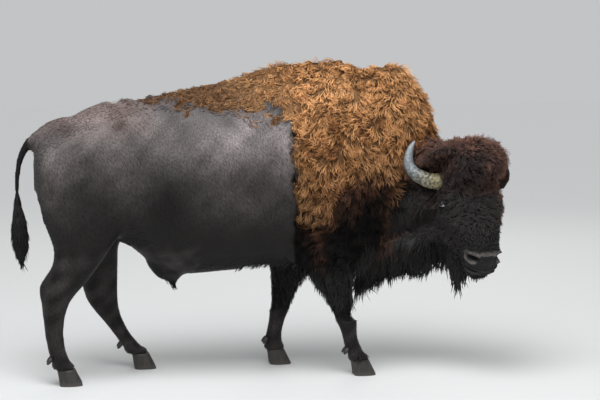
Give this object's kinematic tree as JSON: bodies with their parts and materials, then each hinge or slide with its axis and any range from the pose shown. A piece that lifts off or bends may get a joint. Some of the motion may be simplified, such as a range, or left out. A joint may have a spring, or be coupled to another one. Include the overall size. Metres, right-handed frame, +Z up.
{
  "type": "bison",
  "caption": "Life-size model of a standing bison bull, hump and curly cape, head turned to its right, in a walking stance.",
  "frame": {"origin": "on the floor, at the middle of the model's outline in plan", "axes": "+X towards the way the body faces, +Y to the animal's left, +Z up"},
  "size_m": [2.8378, 0.933, 1.8212],
  "materials": {
    "short_coat_black": "short dense hair, near black",
    "flank_coat_brown": "short dense hair, dark brown with a bluish sheen",
    "cape_wool": "long curly wool, golden brown",
    "long_hair_black": "long hanging or curly hair, brown black",
    "horn": "weathered grey keratin",
    "hoof": "black hoof horn",
    "eye": "polished dark brown glass-like eye"
  },
  "bodies": {
    "root": {"barrel": "flank_coat_brown", "beard": "long_hair_black", "chest_mane": "long_hair_black", "crown_hair": "long_hair_black", "ear_left": "short_coat_black", "ear_right": "short_coat_black", "eye_left": "eye", "eye_right": "eye", "fore_left_left_claw": "hoof", "fore_left_left_dewclaw": "hoof", "fore_left_lower_leg": "short_coat_black", "fore_left_right_claw": "hoof", "fore_left_right_dewclaw": "hoof", "fore_left_upper_leg": "short_coat_black", "fore_right_left_claw": "hoof", "fore_right_left_dewclaw": "hoof", "fore_right_lower_leg": "short_coat_black", "fore_right_right_claw": "hoof", "fore_right_right_dewclaw": "hoof", "fore_right_upper_leg": "short_coat_black", "head": "short_coat_black", "hind_left_left_claw": "hoof", "hind_left_left_dewclaw": "hoof", "hind_left_lower_leg": "short_coat_black", "hind_left_right_claw": "hoof", "hind_left_right_dewclaw": "hoof", "hind_left_upper_leg": "short_coat_black", "hind_right_left_claw": "hoof", "hind_right_left_dewclaw": "hoof", "hind_right_lower_leg": "short_coat_black", "hind_right_right_claw": "hoof", "hind_right_right_dewclaw": "hoof", "hind_right_upper_leg": "short_coat_black", "hindquarters": "flank_coat_brown", "horn_left": "horn", "horn_right": "horn", "neck": "cape_wool", "sheath": "short_coat_black", "shoulders": "cape_wool", "tail": "short_coat_black", "tail_tuft": "long_hair_black"}
  },
  "joints": []
}
